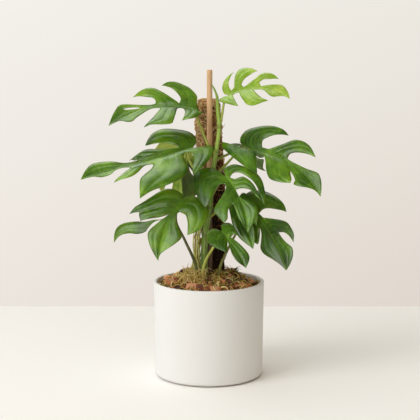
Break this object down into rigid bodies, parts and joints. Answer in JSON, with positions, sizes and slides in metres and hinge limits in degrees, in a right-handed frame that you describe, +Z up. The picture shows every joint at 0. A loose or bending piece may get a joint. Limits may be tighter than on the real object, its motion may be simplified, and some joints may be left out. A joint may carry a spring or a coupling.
{
  "type": "potted swiss cheese plant",
  "caption": "Climbing house plant with deeply cut leaves on a coir pole and a thin stake, growing in a plain white cylinder pot.",
  "frame": {"origin": "the middle of the pot's flat base, on its axis", "axes": "+Z up along the pot's axis and the stake; -Y is the side the picture shows; +X is to the right in it"},
  "size_m": [0.3108, 0.1883, 0.418],
  "materials": {
    "pot_ceramic": "matte",
    "potting_mix": "matte",
    "coir": "matte",
    "stake_wood": "satin",
    "stem_green": "satin",
    "leaf_green": "satin",
    "leaf_young": "satin",
    "dry_root": "matte"
  },
  "bodies": {
    "root": {"pot": "pot_ceramic", "soil": "potting_mix", "coir_pole": "coir", "stake": "stake_wood", "climbing_stem": "stem_green", "aerial_root_01": "dry_root", "aerial_root_02": "dry_root", "leaf_01": "leaf_green", "leaf_02": "leaf_green", "leaf_03": "leaf_green", "leaf_04": "leaf_green", "leaf_05": "leaf_young", "leaf_06": "leaf_green", "leaf_07": "leaf_green", "leaf_08": "leaf_green", "leaf_09": "leaf_green", "leaf_10": "leaf_green", "leaf_11": "leaf_green"}
  },
  "joints": []
}
